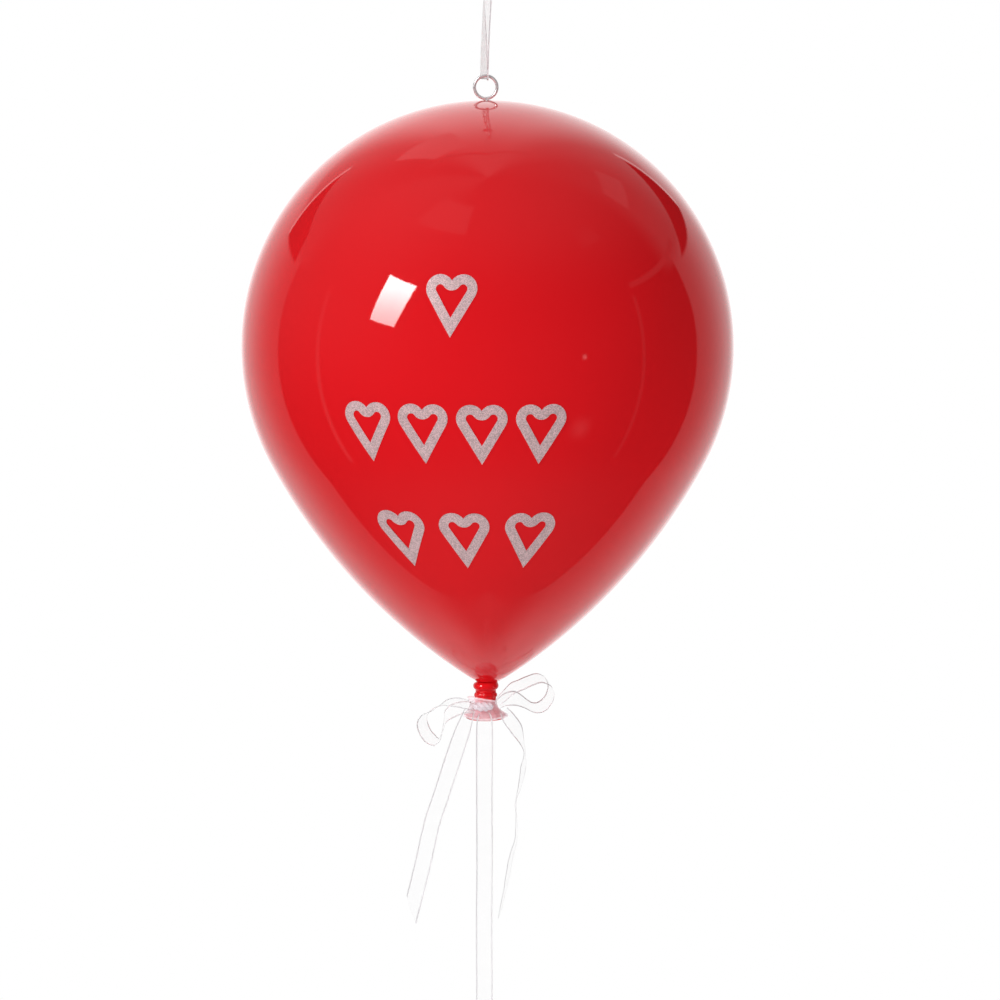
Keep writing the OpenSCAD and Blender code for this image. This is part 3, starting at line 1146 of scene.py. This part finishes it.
@dataclass
class Studio:
    """Plain pale floor, white surroundings and soft light, with the camera."""

    target: Vector
    floor_drop: float = 0.75
    floor_radius: float = 1.6
    white: float = 1.0
    back_glow: float = 1.3
    lens: float = 176.7
    tilt: float = 7.5
    camera_distance: float = 2.0
    aim: tuple[float, float, float] = (0.005, 0.0, -0.2376)
    lamps: Sequence[Lamp] = (
        Lamp("fill", 14.0, 12.0, 3.2, 2.4, 2.2),
        Lamp("left_side", -88.0, 32.0, 1.6, 0.8, 1.5),
        Lamp("right_side", 105.0, 5.0, 1.6, 0.8, 2.2),
        Lamp("bounce", -10.0, -50.0, 0.9, 0.6, 1.0),
    )
    panels: Sequence[Panel] = (
        Panel(((-60, 58), (-60, 73), (-17, 73), (-17, 58)), 0.45),
        Panel(((62, 44), (62, 52), (78, 52), (78, 44)), 0.2),
        Panel(((113, 41), (113, 50), (132, 50), (132, 41)), 0.42),
        Panel(((-166, 52), (-166, 67), (-138, 67), (-138, 52)), 0.75),
        Panel(((-138, 17), (-145, 32), (-122, 26), (-118, 19)), 0.05, 0.6),
        Panel(((-139.6, 17), (-147, 33), (-145.2, 33), (-138, 17)), 1.3, 0.4),
        Panel(((122, 19), (152, 30), (151, 15)), 0.02, 0.6),
        Panel(((151.4, 15), (152.6, 31), (154.2, 31), (153, 15)), 1.3, 0.4),
        Panel(((44, -1), (44, 1), (46, 1), (46, -1)), 1.6, 0.8),
        Panel(((44, -34), (44, -27), (52, -27), (52, -34)), 0.35, 4.0),
        Panel(((77, 23), (77, 25), (122, 25), (122, 23)), 0.2, 0.5),
        Panel(((-180, 73.4), (-180, 75.2), (-125, 68.9), (-125, 67.3)), 0.36, 0.5),
        Panel(((140, 65.2), (140, 67), (180, 75.2), (180, 73.4)), 0.42, 0.5),
        Panel(((-86.5, -40), (-86.5, 20), (-84, 20), (-84, -40)), 0.3, 0.6),
        Panel(((76, -40), (76, 20), (78, 20), (78, -40)), 0.16, 0.6),
        Panel(((-57.5, 14.4), (-54.1, 33.8), (-37.5, 31.3), (-44.7, 12.5)), 27.0, 0.35, 0.55),
    )

    def build(self) -> None:
        """Set the view, then build camera, lamps, surroundings and floor."""
        bpy.context.scene.view_settings.view_transform = "Standard"
        self.build_camera()
        for lamp in self.lamps:
            lamp.build(self.target)
        self.build_room()
        self.build_floor()

    def build_camera(self) -> None:
        """A long lens from the front, a little above the balloon's middle."""
        data = bpy.data.cameras.new("camera")
        data.lens = self.lens
        data.sensor_width = 36.0
        data.clip_start, data.clip_end = 0.1, 50.0
        camera = bpy.data.objects.new("camera", data)
        bpy.context.scene.collection.objects.link(camera)
        camera.location = Vector(self.aim) + direction(0.0, self.tilt) * self.camera_distance
        camera.rotation_euler = (math.radians(90.0 - self.tilt), 0.0, 0.0)
        bpy.context.scene.camera = camera

    def build_room(self) -> None:
        """White to the eye; the gloss and the matt parts get a studio with a bright wall behind."""
        world = bpy.data.worlds.new("studio")
        bpy.context.scene.world = world
        world.use_nodes = True
        sheet = NodeSheet(world.node_tree)
        where = sheet.add("TexCoord", {}, {}, "Generated")
        x, y, z = (sheet.add("SeparateXYZ", {}, {0: where}, axis) for axis in "XYZ")
        to_degrees = 180.0 / math.pi
        azimuth = x.apply("ARCTAN2", 0.0 - y) * to_degrees
        elevation = z.apply("ARCSINE") * to_degrees
        aside = abs(azimuth)
        ceiling = elevation.rise(20, 70)
        left_wall = azimuth.rise(-10, -75) * elevation.rise(-25, 20)
        ground = elevation.rise(-35, -70)
        light = 0.03 + 0.19 * ceiling + 0.14 * left_wall + 0.1 * ground
        side_wall = 0.36 + 0.44 * aside.rise(113, 152)
        light = self.over(light, side_wall, aside.rise(112.5, 114.5))
        side_top = 0.26 + 0.3 * aside.rise(125, 165)
        light = self.over(light, side_top, elevation.rise(19, 23) * aside.rise(100, 116))
        below = 0.13 + 0.1 * aside.rise(100, 150)
        light = self.over(light, below, elevation.rise(-62, -80))
        back_wall = aside.rise(150, 170) * elevation.rise(75, 42) * elevation.rise(-66, -38)
        light = self.over(light, self.back_glow, back_wall)
        for panel in self.panels:
            light = self.over(light, panel.light(elevation), panel.mask(azimuth, elevation))
        seen = sheet.add("LightPath", {}, {}, "Is Camera Ray")
        light = self.over(light, self.white, seen)
        glow = sheet.add("Background", {}, {"Color": colour(1.0, 1.0, 1.0), "Strength": light})
        sheet.add("OutputWorld", {}, {"Surface": glow})

    @staticmethod
    def over(under: Signal, value: Any, mask: Signal) -> Signal:
        """Lay a value over a signal where the mask is 1."""
        return under + mask * (value - under)

    def build_floor(self) -> None:
        """A pale round floor far below the ribbons, out of the main view."""
        floor = bmesh.new()
        bmesh.ops.create_circle(floor, cap_ends=True, segments=96, radius=self.floor_radius)
        height = CAD_BOX[0].z - self.floor_drop
        bmesh.ops.translate(floor, verts=floor.verts[:], vec=(0, 0, height))
        mesh = bpy.data.meshes.new("floor")
        floor.to_mesh(mesh)
        floor.free()
        ground = bpy.data.objects.new("floor", mesh)
        bpy.context.scene.collection.objects.link(ground)
        mesh.materials.append(PaleFloor().material())
        ground.visible_glossy = False


@dataclass(frozen=True)
class PaleFloor(Finish):
    """Matt off-white floor."""

    label: str = "pale_floor"

    def sockets(self, sheet: NodeSheet) -> dict[str, Any]:
        """Almost even, with faint mottling.

        Args:
            sheet: The material's node sheet.

        Returns:
            Socket values of the Principled shader, by name.
        """
        mottle = sheet.noise(sheet.place(), 14.0)
        return {
            "Base Color": sheet.blend(mottle, colour(0.86, 0.86, 0.86), colour(0.9, 0.9, 0.9)),
            "Roughness": 0.8,
        }


def main() -> None:
    """Build the camera and light, then the ribbons, then the rigid pieces."""
    logging.basicConfig(level=logging.INFO, format="%(name)s %(message)s")
    low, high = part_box("balloon_shell")
    Studio((low + high) / 2).build()
    sheer = Organza().material()
    lavender = colour(0.96, 0.88, 0.94)
    strap = Organza("strap_organza", cover=0.075, tint=colour(0.93, 0.84, 0.86)).material()
    # The gathered and tied organza get a painted glow by constant emission, brightening them as light through
    # the weave would.
    gathered = Organza(
        "gathered_organza", cover=0.47, edge_cover=0.75, unevenness=1.2, painted_glow=0.22, tint=lavender,
        edge_tint=colour(1, 0.96, 0.98),
    ).material()
    tied = Organza(
        "tied_organza", cover=0.74, edge_cover=0.9, unevenness=0.8, painted_glow=0.1, tint=lavender,
        edge_tint=colour(1, 0.97, 1),
    ).material()
    Hanger().build(sheer, strap, tied)
    Bow().build(sheer, gathered, tied)
    red = RedLacquer().material()
    balloon = BalloonBody()
    balloon.build_shell(red)
    balloon.build_neck(red)
    ScrewEye().build(Chrome().material())
    zinc = ZincPlate().material()
    dress("crown_washer", zinc)
    dress("crown_nut", zinc)
    glitter = GlitterFilm().material()
    for node in sorted(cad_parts):
        if node.startswith("heart_decal"):
            dress(node, glitter)


if __name__ == "__main__":
    main()
